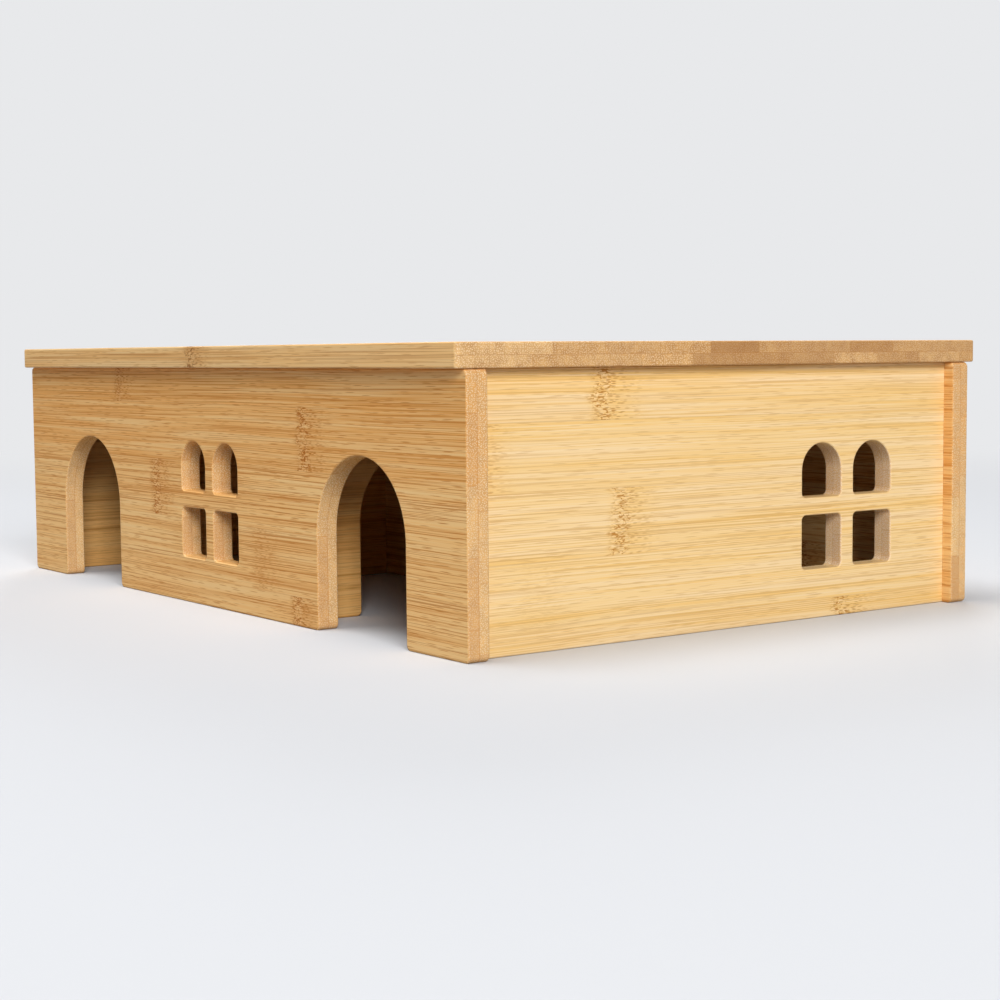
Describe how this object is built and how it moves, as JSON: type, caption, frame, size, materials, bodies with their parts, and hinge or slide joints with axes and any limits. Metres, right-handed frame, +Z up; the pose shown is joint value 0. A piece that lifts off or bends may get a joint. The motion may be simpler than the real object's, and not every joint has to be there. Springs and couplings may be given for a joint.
{
  "type": "hamster house",
  "caption": "Low bamboo hamster house with arched doorways, barred windows, partitioned chambers and a flat lift-off lid.",
  "frame": {"origin": "the middle of the house's outline at floor level", "axes": "+X to the right along the front with the two doorways, +Y to the back, +Z up"},
  "size_m": [0.376, 0.262, 0.109],
  "materials": {
    "panel_bamboo": "satin sanded bamboo",
    "partition_bamboo": "satin sanded bamboo",
    "lid_bamboo": "satin sanded bamboo",
    "cleat_bamboo": "satin sanded bamboo"
  },
  "bodies": {
    "house": {"front_panel": "panel_bamboo", "back_panel": "panel_bamboo", "left_side_panel": "panel_bamboo", "right_side_panel": "panel_bamboo", "long_partition": "partition_bamboo", "left_cross_partition": "partition_bamboo", "right_cross_partition": "partition_bamboo"},
    "lid": {"lid": "lid_bamboo", "lid_cleat_front_left": "cleat_bamboo", "lid_cleat_front_right": "cleat_bamboo", "lid_cleat_back_left": "cleat_bamboo", "lid_cleat_back_right": "cleat_bamboo"}
  },
  "joints": [
    {"name": "lid_lift", "type": "slide", "parent": "house", "child": "lid", "axis": [0, 0, 1], "range_m": [0, 0.12]}
  ]
}
